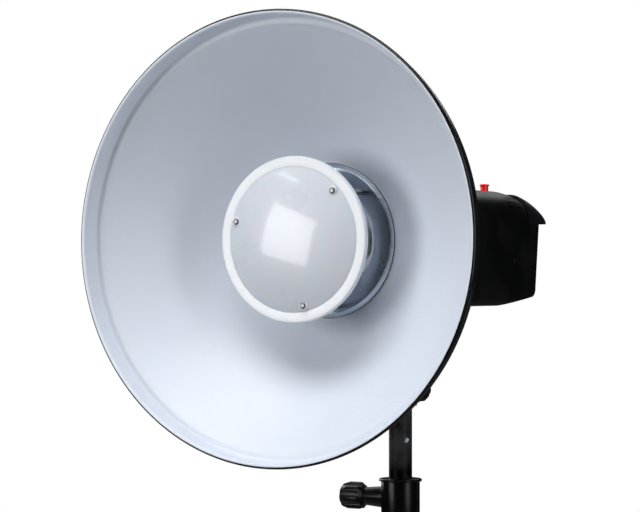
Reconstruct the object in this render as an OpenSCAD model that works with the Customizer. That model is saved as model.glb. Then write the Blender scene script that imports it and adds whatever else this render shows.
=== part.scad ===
// Studio flash head with a beauty dish, on the riser tube and clamp collar of a light stand.
// Millimetres, +Z up. The light shines along -Y and +X is the operator's left.
// The origin is the mouth of the collar's tube socket, on the stand's own axis.

/* [Layout] */
// Height of the light axis above the mouth of the collar
axis_h = 290; // [250:1:345]
// Distance of the head's front face ahead of the stand axis
front_reach = 129; // [110:1:154]

/* [Dish] */
// Outer diameter of the dish over its rolled rim
dish_d = 420; // [350:2:504]
// Depth from the rim to the seat of the base plate
dish_depth = 107; // [95:1:128]
// Radius of the rolled rim
bead_r = 2.4; // [2:0.1:2.9]
// Depth of the straight wall behind the rim
rim_wall = 19.5; // [16:0.5:24]
// Inward slope of that wall
rim_slope = 3; // [1:0.5:5]
// Width of the ledge between the wall and the bowl
rim_ledge = 6.3; // [4:0.1:8]
// Radius of the bowl's arc
bowl_arc_r = 350; // [300:5:420]
// Thickness of the spun sheet
sheet = 1.5; // [1.2:0.1:1.8]
// Outer radius of the polished base plate
plate_r = 74; // [72:0.5:78]
// Height of the base plate's face above its seat
plate_rise = 4; // [3:0.5:5]
// Width of the base plate's sloping edge
plate_bevel = 3.5; // [2:0.5:5]

/* [Deflector] */
// Outer diameter of the white ring
deflector_d = 155.4; // [140:0.2:180]
// Width of the white ring
deflector_ring_w = 10; // [8:0.5:12]
// Distance of the ring's face ahead of the base plate's seat
deflector_reach = 63.5; // [55:0.5:76]
// Rise of the opal dome above the ring's face
dome_rise = 11; // [8:0.5:14]
// Wall of the opal dome
dome_wall = 2; // [1.5:0.1:2.5]
// Distance of the posts from the light axis
post_circle_r = 62.5; // [60:0.5:63]
// Diameter of a post
post_d = 6; // [5:0.5:7]

/* [Bayonet] */
// Outer radius of the dish's spigot
spigot_ring_r = 52; // [43.5:0.5:53]
// Wall of the dish's spigot
spigot_ring_wall = 1.6; // [1.4:0.1:2]
// Height of a bayonet lug
lug_h = 3.5; // [3:0.1:4]
// Width of a lug, in degrees
lug_deg = 24; // [20:1:30]
// Turn from locked to free, in degrees
bayonet_turn = 28; // [24:1:34]
// Length of the head's bayonet ring
ring_len = 10.5; // [9.5:0.5:12.5]
// Outer radius of the head's bayonet ring
ring_r = 60.5; // [60:0.5:61.5]
// Thickness of the dish's flange
flange_t = 3; // [2.5:0.5:4]

/* [Head] */
// Width of the head
body_w = 124; // [118:1:149]
// Length of the head's case
body_len = 320; // [300:1:384]
// Depth of the case below the light axis
body_low = 64; // [62:1:77]
// Height of the case above the light axis
body_high = 55; // [50:1:66]
// Radius of the case's upper edges
top_round = 24; // [20:1:29]
// Radius of the case's lower edges
low_round = 12; // [8:1:15]
// Wall of the case
wall = 2.6; // [2.2:0.1:3.1]
// Radius of the curve that runs down over the handle
hood_r = 172; // [150:1:206]
// Start of the cover's curve ahead of the rear
cover_curve = 66; // [60:1:75]
// Start of the handle's curve ahead of the rear
grip_curve = 43; // [40:1:50]
// Reach of the handle's tip behind the rear
grip_reach = 30; // [28:1:36]
// Height of the handle's underside above the light axis
hood_under = 22; // [18:1:26]
// Width of the handle's side rails
rail_w = 12; // [10:1:15]
// Length of the finger gap in the handle
finger_gap = 26; // [22:1:28]
// Diameter of the slave sensor
sensor_d = 8.8; // [7:0.2:10]

/* [Tilt bracket] */
// Distance of the tilt axis below the case
pivot_drop = 34; // [30:1:41]
// Radius of the head's tilt tongue
tongue_r = 15; // [13:0.5:18]
// Thickness of the tilt tongue
tongue_w = 18; // [15:0.5:22]
// Thickness of a bracket ear
ear_w = 7.5; // [6:0.5:9]
// Diameter of the tilt bolt
bolt_d = 8; // [7:0.5:9.6]
// Diameter of the umbrella shaft's bore
umbrella_d = 8.4; // [7:0.2:10]
// Outer diameter of the bracket's socket
socket_d = 33; // [30:1:39]
// Depth of the bracket's socket
socket_depth = 36; // [32:1:43]
// Outer diameter of the clamp knobs
knob_d = 28; // [24:1:33]
// Length of the clamp knobs
knob_len = 25; // [21:1:30]

/* [Stand] */
// Diameter of the stand's spigot
stud_d = 16; // [13:0.5:17]
// Outer diameter of the riser tube
tube_d = 23.3; // [19.4:0.1:25]
// Wall of the riser tube
tube_wall = 1.4; // [1.2:0.1:1.7]
// Outer diameter of the clamp collar
collar_d = 38.8; // [37:0.1:46]
// Height of the clamp collar
collar_h = 51; // [46:1:61]
// Diameter of the collar's flange
collar_flange_d = 43; // [41:0.5:51]
// Diameter of the lower tube that the collar takes
socket_tube_d = 30; // [27:0.5:32]
// Depth of the collar's tube socket
socket_tube_depth = 24; // [20:1:28]

/* [Hidden] */
$fn = 96;
fit = 0.05;
gap = 0.3;
lap = 1;

// Places along the light axis, from the stand axis forward and back
front_y = -front_reach;
rear_y = front_y + body_len;
ring_y = front_y - ring_len;
nut_h = 3.5;
flange_back_y = ring_y - 1.5 - nut_h;
seat_y = flange_back_y - flange_t - sheet;
rim_y = seat_y - dish_depth;
deflector_y = seat_y - deflector_reach;
plate_y = seat_y - plate_rise;

// Heights
body_z = axis_h - body_low;
pivot_z = body_z - pivot_drop;
fork_z = pivot_z - tongue_r - 0.5;
umbrella_z = fork_z - 2.3 - umbrella_d / 2;
stud_top_z = umbrella_z - umbrella_d / 2 - 2.8;
socket_z = stud_top_z - socket_depth;
tube_top_z = socket_z - 1;
socket_knob_z = socket_z + 14.5;
flange_h = 3;
tube_end_z = socket_tube_depth + 2;
collar_knob_z = (tube_end_z + collar_h) / 2 - 4;

// Dish outline, as radius and depth behind the rim
rim_r = dish_d / 2;
wall_r = rim_r - bead_r - 0.4;
ledge_r = wall_r - rim_slope;
bowl_r = ledge_r - rim_ledge;
bowl_end_r = plate_r + 2;
opening_r = spigot_ring_r - spigot_ring_wall;

// Centre of the bowl's arc through the ledge and the edge of the base
bowl_a = [bowl_r, rim_wall];
bowl_b = [bowl_end_r, dish_depth];
bowl_mid = (bowl_a + bowl_b) / 2;
bowl_chord = norm(bowl_b - bowl_a);
bowl_dir = (bowl_b - bowl_a) / bowl_chord;
bowl_off = sqrt(bowl_arc_r * bowl_arc_r - bowl_chord * bowl_chord / 4);
bowl_c = bowl_mid + bowl_off * [-bowl_dir[1], bowl_dir[0]];

// Deflector
ring_t = 1.5;
dome_r = deflector_d / 2 - deflector_ring_w;
dome_sphere_r = (dome_r * dome_r + dome_rise * dome_rise) / (2 * dome_rise);
post_angles = [45.6, 164, -78.4];
rivet_angles = [15, 105, 195, 225, 315];
screw_sink = dome_sphere_r - sqrt(dome_sphere_r * dome_sphere_r - post_circle_r * post_circle_r);
screw_lift = dome_rise - screw_sink;
washer_r = 4.4;
washer_t = 1.1;
washer_y = deflector_y - screw_lift - 0.6;

// Case
cover_curve_y = rear_y - cover_curve;
grip_curve_y = rear_y - grip_curve;
tip_y = rear_y + grip_reach;
handle_y = rear_y - 17;
finger_y = rear_y - 9;
finger_floor = 2;
split_h = body_high - top_round;
slope_y = rear_y - 76;
slope_rise = 8.5;
rear_lean = 5;
rear_tuck = 3.5;
rear_round = 10;
panel_t = 3;
panel_y = rear_y - panel_t - 4;
bezel_len = 10;
shell_y = front_y + bezel_len;
shoe_t = 5;
shoe_head_r = 4;
shoe_hole_x = tongue_w / 2 + shoe_head_r + 1;
shoe_w = 2 * (shoe_hole_x + shoe_head_r + 2);
shoe_len = 84;

// Pieces on the rear panel: across, and up from the light axis
dial_x = 38;
dial_up = -14;
button_up = -20;
button_pitch = 15;
button_d = 9;
button_travel = 2;
low_row_up = -41;
window_w = 54;
window_h = 19;
window_up = 5;
inlet_w = 27;
inlet_h = 20;
inlet_x = 32;
fuse_x = 6;
rocker_x = -15;
sync_x = -40;
sync_d = 6.4;
rocker_w = 15;
rocker_h = 21;
rocker_rest = 8;

// Stand
screw_r = 4;
bush_r = tube_d / 2 + 2;
bush_len = 12;
collar_knob_reach = 39;
rivet_turn = 16;

// Bracket
disc_t = 1.2;
fork_w = tongue_w + 2 * disc_t + 2 * gap + 2 * ear_w;
ear_r = tongue_r + 1;
socket_reach = 18;
lever_x = fork_w / 2 + 0.5;
lever_w = 14;
lever_reach = pivot_drop - 4;

// Case fastenings, vents and the slave sensor
side_screw_up = -17;
side_screw_y = [front_y + 45, rear_y - 53];
shoe_hole_y = 34;
vent_y = rear_y - 64;
sensor_x = 25;
sensor_y = rear_y - 51;

// Bayonet ring and its lock
screw_circle_r = ring_r - 2.6;
ring_screw_angles = [0, 90, 180, 270];
lock_deg = 135;
lock_r = spigot_ring_r + lug_h - 1;
lock_pin_r = 1.6;
lock_travel = 4;

// Inside of the head
cup_r = opening_r - 1.4;
cup_y = ring_y - 6;
cup_floor_y = front_y + 24;
flash_r = 4.5;
flash_ring_r = cup_r - flash_r - 8.5;
flash_y = ring_y + 2;
flash_leg_angles = [250, 290];
cap_r = 25;
cap_len = 92;
cap_x = 28;
cap_up = -30;
cap_y = front_y + 78;
board_up = 6;
fan_y = cap_y + cap_len + 22;
fan_up = -30;
fan_w = 60;
fan_t = 20;
board_y = panel_y - 22;
post_front_y = deflector_y + ring_t + 1.2;

// Places its children on the light axis, with their Z pointing back along +Y
module on_axis(y) {
    translate([0, y, axis_h]) rotate([-90, 0, 0]) children();
}

// Copies its children to a circle around the light axis, at angles seen from the front
module on_circle(y, r, angles) {
    for (a = angles)
        translate([r * cos(a), y, axis_h + r * sin(a)]) rotate([-90, 0, 0]) children();
}

// Extrudes an outline of across and up back along +Y
module along(y, len) {
    translate([0, y, axis_h]) rotate([-90, 0, 0]) mirror([0, 1, 0]) linear_extrude(len) children();
}

// Extrudes an outline of Y and Z across the head
module across(w) {
    translate([-w / 2, 0, 0]) rotate([90, 0, 90]) linear_extrude(w) children();
}

// Points its children's Z along +X
module toward_x(p) {
    translate(p) rotate([0, 90, 0]) children();
}

module tube(r_out, r_in, len) {
    difference() {
        cylinder(r = r_out, h = len);
        translate([0, 0, -lap]) cylinder(r = r_in, h = len + 2 * lap);
    }
}

// A ring sector about Z, counter-clockwise from one angle to another
module sector(r_in, r_out, len, from, to) {
    far = 2 * r_out;
    mid = (from + to) / 2;
    intersection() {
        tube(r_out, r_in, len);
        translate([0, 0, -lap]) linear_extrude(len + 2 * lap) polygon([
            [0, 0], far * [cos(from), sin(from)], far * [cos(mid), sin(mid)], far * [cos(to), sin(to)]
        ]);
    }
}

// A pan-head screw with a cross recess, its seat at Z = 0 and its head towards -Z
module screw(head_r, head_h, shank_r, shank_len) {
    slot_w = head_r * 0.24;
    slot_l = head_r * 1.15;
    slot_deep = head_h * 0.55;
    difference() {
        union() {
            translate([0, 0, -head_h]) cylinder(r1 = head_r * 0.72, r2 = head_r, h = head_h * 0.45);
            translate([0, 0, -head_h * 0.55]) cylinder(r = head_r, h = head_h * 0.55);
            cylinder(r = shank_r, h = shank_len);
        }
        for (a = [0, 90]) rotate([0, 0, a])
            translate([-slot_l / 2, -slot_w / 2, -head_h - lap]) cube([slot_l, slot_w, slot_deep + lap]);
    }
}

// A lobed clamp knob about Z, its inner face at Z = 0
module lobed_knob(bore_r) {
    lobes = 7;
    lobe_r = knob_d * 0.13;
    hub_r = knob_d * 0.29;
    difference() {
        intersection() {
            union() {
                cylinder(r = knob_d / 2 - lobe_r * 0.75, h = knob_len);
                for (i = [0 : lobes - 1]) rotate([0, 0, i * 360 / lobes])
                    translate([knob_d / 2 - lobe_r, 0, 0]) cylinder(r = lobe_r, h = knob_len, $fn = 32);
            }
            rotate_extrude() polygon([
                [0, 0], [hub_r, 0], [knob_d / 2, knob_len * 0.22], [knob_d / 2, knob_len * 0.72],
                [knob_d * 0.42, knob_len], [0, knob_len]
            ]);
        }
        translate([0, 0, -lap]) cylinder(r = bore_r, h = knob_len * 0.6 + lap);
        translate([0, 0, knob_len - 1.5]) cylinder(r = knob_d * 0.3, h = lap + 1.5);
    }
}

// ---------------------------------------------------------------- stand

module stand_collar() {
    color("#17181a") difference() {
        cylinder(d = collar_d, h = collar_h);
        translate([0, 0, -lap]) cylinder(d = socket_tube_d, h = socket_tube_depth + lap);
        cylinder(r = tube_d / 2 + 0.6, h = collar_h + lap);
        translate([0, 0, collar_h - bush_len]) cylinder(r = bush_r, h = bush_len + lap);
        translate([0, 0, collar_knob_z]) rotate([0, -90, 0])
            cylinder(r = screw_r, h = collar_knob_reach + lap);
        translate([0, 0, socket_tube_depth / 2]) rotate([90, 0, -rivet_turn])
            cylinder(r = 2, h = collar_d, $fn = 32);
    }
}

// The clamp screw's boss on the side of the collar
module collar_boss() {
    color("#17181a") difference() {
        translate([0, 0, collar_knob_z]) rotate([0, -90, 0])
            cylinder(r1 = 12.5, r2 = 9, h = collar_knob_reach - gap);
        translate([0, 0, -lap]) cylinder(d = collar_d, h = collar_h + 2 * lap);
        translate([0, 0, collar_knob_z]) rotate([0, -90, 0])
            cylinder(r = screw_r, h = collar_knob_reach + lap);
    }
}

module collar_bush() {
    color("#2b2c2e") difference() {
        union() {
            translate([0, 0, collar_h - bush_len]) cylinder(r = bush_r, h = bush_len);
            translate([0, 0, collar_h]) rotate_extrude() polygon([
                [0, 0], [collar_flange_d / 2 - 0.8, 0], [collar_flange_d / 2, 0.8],
                [collar_flange_d / 2, flange_h - 0.8], [collar_flange_d / 2 - 0.8, flange_h], [0, flange_h]
            ]);
        }
        translate([0, 0, collar_h - bush_len - lap])
            cylinder(r = tube_d / 2 + fit, h = bush_len + flange_h + 2 * lap);
    }
}

module collar_rivet() {
    color("silver") translate([0, 0, socket_tube_depth / 2]) rotate([90, 0, -rivet_turn]) {
        translate([0, 0, socket_tube_d / 2 + 0.5])
            cylinder(r = 2, h = (collar_d - socket_tube_d) / 2 - 0.5, $fn = 32);
        translate([0, 0, collar_d / 2]) cylinder(r1 = 3.2, r2 = 2, h = 1);
    }
}

// The stud's tip stops just short of the tube, as when the knob is slackened
module collar_screw() {
    color("silver") translate([0, 0, collar_knob_z]) rotate([0, -90, 0]) {
        translate([0, 0, tube_d / 2 + gap])
            cylinder(r = screw_r - fit, h = collar_knob_reach + knob_len * 0.6 - tube_d / 2 - gap);
    }
}

module collar_knob() {
    color("#1b1c1e") translate([-collar_knob_reach, 0, collar_knob_z]) rotate([0, -90, 0])
        lobed_knob(screw_r - fit);
}

module riser_tube() {
    color("#141516") difference() {
        translate([0, 0, tube_end_z]) tube(tube_d / 2, tube_d / 2 - tube_wall, tube_top_z - tube_end_z);
        translate([0, 0, tube_top_z - 33]) rotate([90, 0, 60])
            cylinder(r = 2, h = tube_d / 2 + lap, $fn = 32);
    }
}

module riser_end_plug() {
    color("#2b2c2e") translate([0, 0, tube_end_z - 1]) {
        tube(tube_d / 2, 4, 1);
        translate([0, 0, 1]) tube(tube_d / 2 - tube_wall, 4, 12);
    }
}

module riser_rivet() {
    color("silver") translate([0, 0, tube_top_z - 33]) rotate([90, 0, 60]) {
        translate([0, 0, tube_d / 2 - tube_wall]) cylinder(r = 2, h = tube_wall, $fn = 32);
        translate([0, 0, tube_d / 2]) cylinder(r1 = 3, r2 = 1.8, h = 0.9);
    }
}

module stand_stud() {
    stud_r = stud_d / 2;
    shank_r = tube_d / 2 - tube_wall;
    waist_r = stud_r - 2;
    color("#b9bbbd") translate([0, 0, tube_top_z]) {
        translate([0, 0, -40]) cylinder(r = shank_r, h = 40);
        cylinder(r = tube_d / 2, h = 0.8);
        rotate_extrude() polygon([
            [0, 0], [stud_r, 0], [stud_r, 8], [waist_r, 10], [waist_r, 21], [stud_r, 23],
            [stud_r, socket_depth - 8], [stud_r - 1, socket_depth - 7], [3.1, socket_depth - 7],
            [3.1, socket_depth], [0, socket_depth]
        ]);
    }
}

// -------------------------------------------------------------- bracket

module tilt_bracket() {
    block_y = socket_d / 2;
    color("#1a1b1d") difference() {
        union() {
            translate([0, 0, socket_z]) cylinder(d = socket_d, h = umbrella_z - socket_z);
            intersection() {
                translate([-fork_w / 2, -block_y, umbrella_z - umbrella_d])
                    cube([fork_w, 2 * block_y, pivot_z - umbrella_z + umbrella_d]);
                translate([0, 0, umbrella_z - umbrella_d])
                    cylinder(r = max(fork_w, 2 * block_y) * 0.58, h = pivot_z);
            }
            toward_x([-fork_w / 2, 0, pivot_z]) cylinder(r = ear_r, h = fork_w);
            translate([0, 0, socket_knob_z]) rotate([-90, 0, 0])
                cylinder(r1 = 11, r2 = 9, h = socket_reach);
        }
        translate([0, 0, socket_z - lap]) cylinder(r = stud_d / 2 + fit, h = socket_depth + lap);
        translate([-tongue_w / 2 - disc_t - gap, -block_y - lap, fork_z])
            cube([tongue_w + 2 * (disc_t + gap), 2 * (block_y + lap), 4 * tongue_r]);
        translate([0, -block_y - 20, umbrella_z]) rotate([-90, 0, 0])
            cylinder(d = umbrella_d, h = 2 * block_y + 40);
        toward_x([-fork_w, 0, pivot_z]) cylinder(r = bolt_d / 2, h = 2 * fork_w);
        translate([0, 0, socket_knob_z]) rotate([-90, 0, 0]) cylinder(r = screw_r, h = 40);
        toward_x([0, 0, umbrella_z]) cylinder(r = 2.5, h = fork_w);
    }
}

module tilt_bolt() {
    color("silver") toward_x([0, 0, pivot_z]) {
        translate([0, 0, -lever_x - lever_w + 2])
            cylinder(r = bolt_d / 2, h = lever_x + lever_w - 2 + fork_w / 2 + 7);
        translate([0, 0, -lever_x]) cylinder(r = 9, h = lever_x - fork_w / 2);
    }
}

module tilt_nut() {
    color("silver") toward_x([fork_w / 2, 0, pivot_z]) difference() {
        union() {
            cylinder(r = 8, h = 1.2);
            translate([0, 0, 1.2]) cylinder(r = 7.2, h = 5.4, $fn = 6);
        }
        translate([0, 0, -lap]) cylinder(r = bolt_d / 2, h = 10);
    }
}

module tilt_discs() {
    color("#c8c6bd") for (x = [-tongue_w / 2 - disc_t - gap / 2, tongue_w / 2 + gap / 2])
        toward_x([x, 0, pivot_z]) tube(tongue_r - 1, bolt_d / 2, disc_t);
}

// The clamp lever turns on the bolt's end and its arm hangs down
module tilt_lever() {
    hub_r = 10.5;
    tip_r = 6;
    color("#1b1c1e") difference() {
        toward_x([-lever_x - lever_w - gap, 0, pivot_z]) {
            cylinder(r = hub_r, h = lever_w);
            linear_extrude(9) polygon([[0, -hub_r], [lever_reach - tip_r, -tip_r],
                [lever_reach - tip_r, tip_r], [0, hub_r]]);
            translate([lever_reach - tip_r, 0, 0]) cylinder(r = tip_r, h = 9);
        }
        toward_x([-lever_x - lever_w + 2 - gap - gap, 0, pivot_z])
            cylinder(r = bolt_d / 2 + fit, h = lever_w);
    }
}

module socket_screw() {
    tip_r = stud_d / 2 - 2 + gap;
    color("silver") translate([0, 0, socket_knob_z]) rotate([-90, 0, 0]) {
        translate([0, 0, tip_r]) cylinder(r = screw_r - fit, h = socket_reach + knob_len * 0.6 - tip_r + 1);
    }
}

module socket_knob() {
    color("#1b1c1e") translate([0, socket_reach + 1, socket_knob_z]) rotate([-90, 0, 0])
        lobed_knob(screw_r - fit);
}

module umbrella_screw() {
    tip_x = umbrella_d / 2 + gap;
    head_x = fork_w / 2 + 1;
    color("#3a3b3d") toward_x([0, 0, umbrella_z]) {
        translate([0, 0, tip_x]) cylinder(r = 2.5 - fit, h = head_x - tip_x);
        translate([0, 0, head_x]) cylinder(r = 4.5, h = 4);
        translate([-2, -7.5, head_x + 4]) cube([4, 15, 9]);
    }
}

// ----------------------------------------------------------------- head

module section(s) {
    half = body_w / 2 - s;
    top = body_high - s;
    low = body_low - s;
    rt = top_round - s;
    rl = low_round - s;
    translate([-half, rl - low]) square([2 * half, top + low - rt - rl]);
    translate([-half + rt, 0]) square([2 * (half - rt), top]);
    translate([-half + rl, -low]) square([2 * (half - rl), low]);
    for (m = [-1, 1]) {
        translate([m * (half - rt), top - rt]) circle(rt);
        translate([m * (half - rl), rl - low]) circle(rl);
    }
}

// The same outline with no shoulders, for what the hood's curve rounds off
module open_section(s) {
    half = body_w / 2 - s;
    low = body_low - s;
    rl = low_round - s;
    translate([-half, rl - low]) square([2 * half, body_high + low - rl + lap]);
    translate([-half + rl, -low]) square([2 * (half - rl), low]);
    for (m = [-1, 1]) translate([m * (half - rl), rl - low]) circle(rl);
}

// Side view of the case; the rear edge may be moved back by more
module case_side(s, more) {
    y = rear_y - s + more;
    foot_y = y - rear_tuck;
    low = body_z + s;
    high = low + slope_rise;
    polygon([
        [front_y, low], [slope_y, low], [foot_y - rear_round, high], [foot_y, high + rear_round],
        [y + rear_lean, axis_h + hood_under], [y + rear_lean, axis_h + body_high + lap],
        [front_y, axis_h + body_high + lap]
    ]);
    translate([foot_y - rear_round, high + rear_round]) circle(rear_round);
}

// The hood's curve as a barrel across the head, with the shoulders' radius on its ends
module hood_barrel(s, curve_y) {
    half = body_w / 2 - s;
    r = hood_r - s;
    rt = top_round - s;
    translate([0, curve_y, axis_h + body_high - hood_r]) rotate([0, 90, 0]) rotate_extrude($fn = 180) {
        translate([0, -half]) square([r - rt, 2 * half]);
        translate([0, rt - half]) square([r, 2 * (half - rt)]);
        for (m = [-1, 1]) translate([r - rt, m * (half - rt)]) circle(rt);
    }
}

module curved_rear(s, y0, y1, curve_y) {
    intersection() {
        along(y0, y1 - y0) open_section(s);
        hood_barrel(s, curve_y);
    }
}

module case_block(s, y0, more) {
    intersection() {
        union() {
            along(y0, cover_curve_y - y0) section(s);
            curved_rear(s, cover_curve_y, rear_y + 20, cover_curve_y);
        }
        across(body_w + 2) case_side(s, more);
    }
}

module rear_block(s, y0, more) {
    intersection() {
        curved_rear(s, y0, rear_y + 20, grip_curve_y);
        across(body_w + 2) case_side(s, more);
    }
}

module vents(count, pitch, size) {
    for (i = [0 : count - 1]) translate([0, i * pitch, 0]) cube(size, center = true);
}

module side_screw_holes(r, depth) {
    for (y = side_screw_y, m = [-1, 1])
        translate([m * (body_w / 2 + lap), y, axis_h + side_screw_up]) rotate([0, -m * 90, 0])
            cylinder(r = r, h = depth + lap, $fn = 32);
}

module lower_case() {
    color("#0f1011") difference() {
        union() {
            difference() {
                intersection() {
                    case_block(0, shell_y, 0);
                    translate([-body_w, shell_y, 0]) cube([2 * body_w, handle_y - shell_y, axis_h + split_h]);
                }
                case_block(wall, shell_y - lap, 20);
            }
            difference() {
                intersection() {
                    rear_block(0, handle_y - lap, 0);
                    translate([-body_w, handle_y - lap, 0])
                        cube([2 * body_w, rear_y, axis_h + hood_under - gap / 2]);
                }
                rear_block(wall, handle_y - 2 * lap, 20);
            }
            for (y = side_screw_y, m = [-1, 1])
                translate([m * (body_w / 2 - wall / 2), y, axis_h + side_screw_up]) rotate([0, -m * 90, 0])
                    cylinder(r = 5, h = 9);
        }
        side_screw_holes(3.4, 1.6);
        side_screw_holes(1.6, 9 + wall);
        for (m = [-1, 1]) translate([m * 30, front_y + 60, body_z]) vents(9, 8, [34, 3, 4 * wall]);
        for (x = [-shoe_hole_x, shoe_hole_x], y = [-shoe_hole_y, shoe_hole_y])
            translate([x, y, body_z - lap]) cylinder(r = 2.2, h = wall + 2 * lap, $fn = 32);
    }
}

module top_cover() {
    sensor_hole_r = sensor_d / 2 - 1;
    color("#141517") difference() {
        intersection() {
            case_block(0, shell_y, 0);
            translate([-body_w, shell_y, axis_h + split_h + gap / 2])
                cube([2 * body_w, handle_y - gap / 2 - shell_y, body_high]);
        }
        case_block(wall, shell_y - lap, 20);
        for (m = [-1, 1], row = [0 : 2])
            translate([m * (body_w / 2 - 5), vent_y, axis_h + split_h + 7.5 + 4.6 * row])
                vents(7, 5.4, [20, 2.4, 2.4]);
        translate([sensor_x, sensor_y, axis_h + split_h])
            cylinder(r = sensor_hole_r, h = body_high, $fn = 32);
    }
}

module front_bezel() {
    color("#121314") difference() {
        union() {
            along(front_y, bezel_len) section(0);
            on_axis(front_y) cylinder(r = ring_r + 0.5, h = bezel_len);
        }
        difference() {
            along(front_y + 3, bezel_len) section(wall);
            on_axis(front_y) cylinder(r = opening_r + 3, h = bezel_len);
        }
        on_axis(front_y - lap) cylinder(r = opening_r + 0.6, h = bezel_len + 2 * lap);
        on_circle(front_y - lap, screw_circle_r, ring_screw_angles) cylinder(r = 1.45, h = 6, $fn = 32);
        on_circle(front_y - lap, lock_r, [lock_deg]) cylinder(r = 2.3, h = bezel_len + 2 * lap, $fn = 32);
        lock_window(1);
    }
}

// Slot through the bezel's edge in which the lock's thumb piece slides
module lock_window(extra) {
    on_axis(front_y + 3) rotate([0, 0, -lock_deg])
        translate([opening_r + 1.5, -7 - extra * gap, 0]) cube([30, 14 + 2 * extra * gap, bezel_len]);
}

module front_ring() {
    lip = 3;
    groove = 5;
    groove_r = spigot_ring_r + lug_h + 0.4;
    cut_deg = lug_deg + 4;
    color("#8f9296") difference() {
        on_axis(ring_y) tube(ring_r, spigot_ring_r + fit + 0.03, ring_len);
        on_axis(ring_y + lip) cylinder(r = groove_r, h = groove);
        for (k = [0 : 2]) on_axis(ring_y - lap)
            sector(spigot_ring_r - 1, groove_r - 0.2, lip + 2 * lap, cut_start(k), cut_start(k) + cut_deg);
        on_circle(ring_y - lap, screw_circle_r, ring_screw_angles)
            cylinder(r = 1.45, h = ring_len + 2 * lap, $fn = 32);
        on_circle(ring_y - lap, screw_circle_r, ring_screw_angles) cylinder(r = 2.3, h = 3 + lap, $fn = 32);
        on_circle(ring_y - lap, lock_r, [lock_deg])
            cylinder(r = lock_pin_r + 0.2, h = ring_len + 2 * lap, $fn = 32);
    }
}

// Start angle of a lug about the light axis, in the turning direction
function lug_start(k) = k * 120 + 30;

// Start angle of the cut in the ring's lip that lets that lug in
function cut_start(k) = lug_start(k) + bayonet_turn - 2;

module lock_slider() {
    color("#cfd1d3") on_circle(ring_y, lock_r, [lock_deg])
        translate([0, 0, -2.5 - nut_h]) cylinder(r = lock_pin_r, h = ring_len + 10.5, $fn = 32);
    color("#1b1c1e") on_axis(front_y + 3 + gap) rotate([0, 0, -lock_deg])
        translate([opening_r + 2.2, -7, 0]) cube([13, 14, bezel_len - 3 - lock_travel - 2 * gap]);
}

module head_shoe() {
    color("#1a1b1d") difference() {
        union() {
            translate([-shoe_w / 2, -shoe_len / 2, body_z - shoe_t]) cube([shoe_w, shoe_len, shoe_t]);
            translate([-tongue_w / 2, -tongue_r, pivot_z])
                cube([tongue_w, 2 * tongue_r, pivot_drop - shoe_t]);
            translate([0, 0, body_z - shoe_t]) across(tongue_w) polygon([[-2.2 * tongue_r, 0],
                [2.2 * tongue_r, 0], [tongue_r, -10], [-tongue_r, -10]]);
            toward_x([-tongue_w / 2, 0, pivot_z]) cylinder(r = tongue_r, h = tongue_w);
        }
        toward_x([-tongue_w, 0, pivot_z]) cylinder(r = bolt_d / 2 + fit, h = 2 * tongue_w);
        for (x = [-shoe_hole_x, shoe_hole_x], y = [-shoe_hole_y, shoe_hole_y])
            translate([x, y, body_z - shoe_t - lap]) cylinder(r = 2.2, h = shoe_t + 2 * lap, $fn = 32);
    }
}

module shoe_screws() {
    color("silver") for (x = [-shoe_hole_x, shoe_hole_x], y = [-shoe_hole_y, shoe_hole_y])
        translate([x, y, body_z - shoe_t]) screw(shoe_head_r, 2.6, 2.1, shoe_t + wall + 5);
}

module rear_panel() {
    color("#202124") difference() {
        intersection() {
            along(panel_y, panel_t) section(wall + gap / 2);
            across(body_w) case_side(wall + gap / 2, 20);
            translate([-body_w, 0, 0]) cube([2 * body_w, 2 * body_len, axis_h + hood_under - gap]);
        }
        panel_cut(0, window_up, window_w, window_h);
        panel_cut(inlet_x, low_row_up, inlet_w, inlet_h);
        panel_cut(rocker_x, low_row_up, rocker_w, rocker_h);
        panel_hole(sync_x, low_row_up, 5);
        panel_hole(fuse_x, low_row_up, 6.5);
        for (m = [-1, 1]) panel_hole(m * dial_x, dial_up, 3.4);
        for (i = [-1 : 1]) panel_hole(i * button_pitch, button_up, button_d / 2 + 0.25);
    }
}

module panel_cut(x, up, w, h) {
    translate([x - w / 2, panel_y - lap, axis_h + up - h / 2]) cube([w, panel_t + 2 * lap, h]);
}

module panel_hole(x, up, r) {
    translate([x, panel_y - lap, axis_h + up]) rotate([-90, 0, 0]) cylinder(r = r, h = panel_t + 2 * lap);
}

module carry_handle() {
    color("#131416") difference() {
        intersection() {
            curved_rear(0, handle_y, tip_y, grip_curve_y);
            translate([-body_w, handle_y, axis_h + hood_under])
                cube([2 * body_w, tip_y - handle_y, body_high]);
        }
        translate([-body_w / 2 + rail_w, finger_y, axis_h + hood_under + finger_floor])
            cube([body_w - 2 * rail_w, finger_gap, body_high]);
        translate([-body_w / 2 + rail_w, panel_y + panel_t + lap, axis_h])
            cube([body_w - 2 * rail_w, finger_y + finger_gap - panel_y - panel_t - lap, body_high]);
    }
}

// The black screws of the bayonet ring and of the case's sides
module head_screws() {
    color("#606265") on_circle(ring_y + 3, screw_circle_r, ring_screw_angles)
        screw(2.15, 2.2, 1.4, ring_len - 3 + 4);
    color("#3f4144") for (y = side_screw_y, m = [-1, 1])
        translate([m * (body_w / 2 - 1.6), y, axis_h + side_screw_up]) rotate([0, -m * 90, 0])
            screw(3.2, 1.2, 1.6, 8);
}

module slave_sensor() {
    r = sensor_d / 2;
    color("red") translate([sensor_x, sensor_y, axis_h + body_high]) rotate_extrude() polygon([
        [0, -wall], [r - 1.05, -wall], [r - 1.05, 0], [r, 0], [r - 0.2, 5.6],
        [r + 0.8, 6.2], [r + 0.8, 7.4], [r, 8.1], [0, 8.3]
    ]);
}

// -------------------------------------------------- inside of the head

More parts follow.
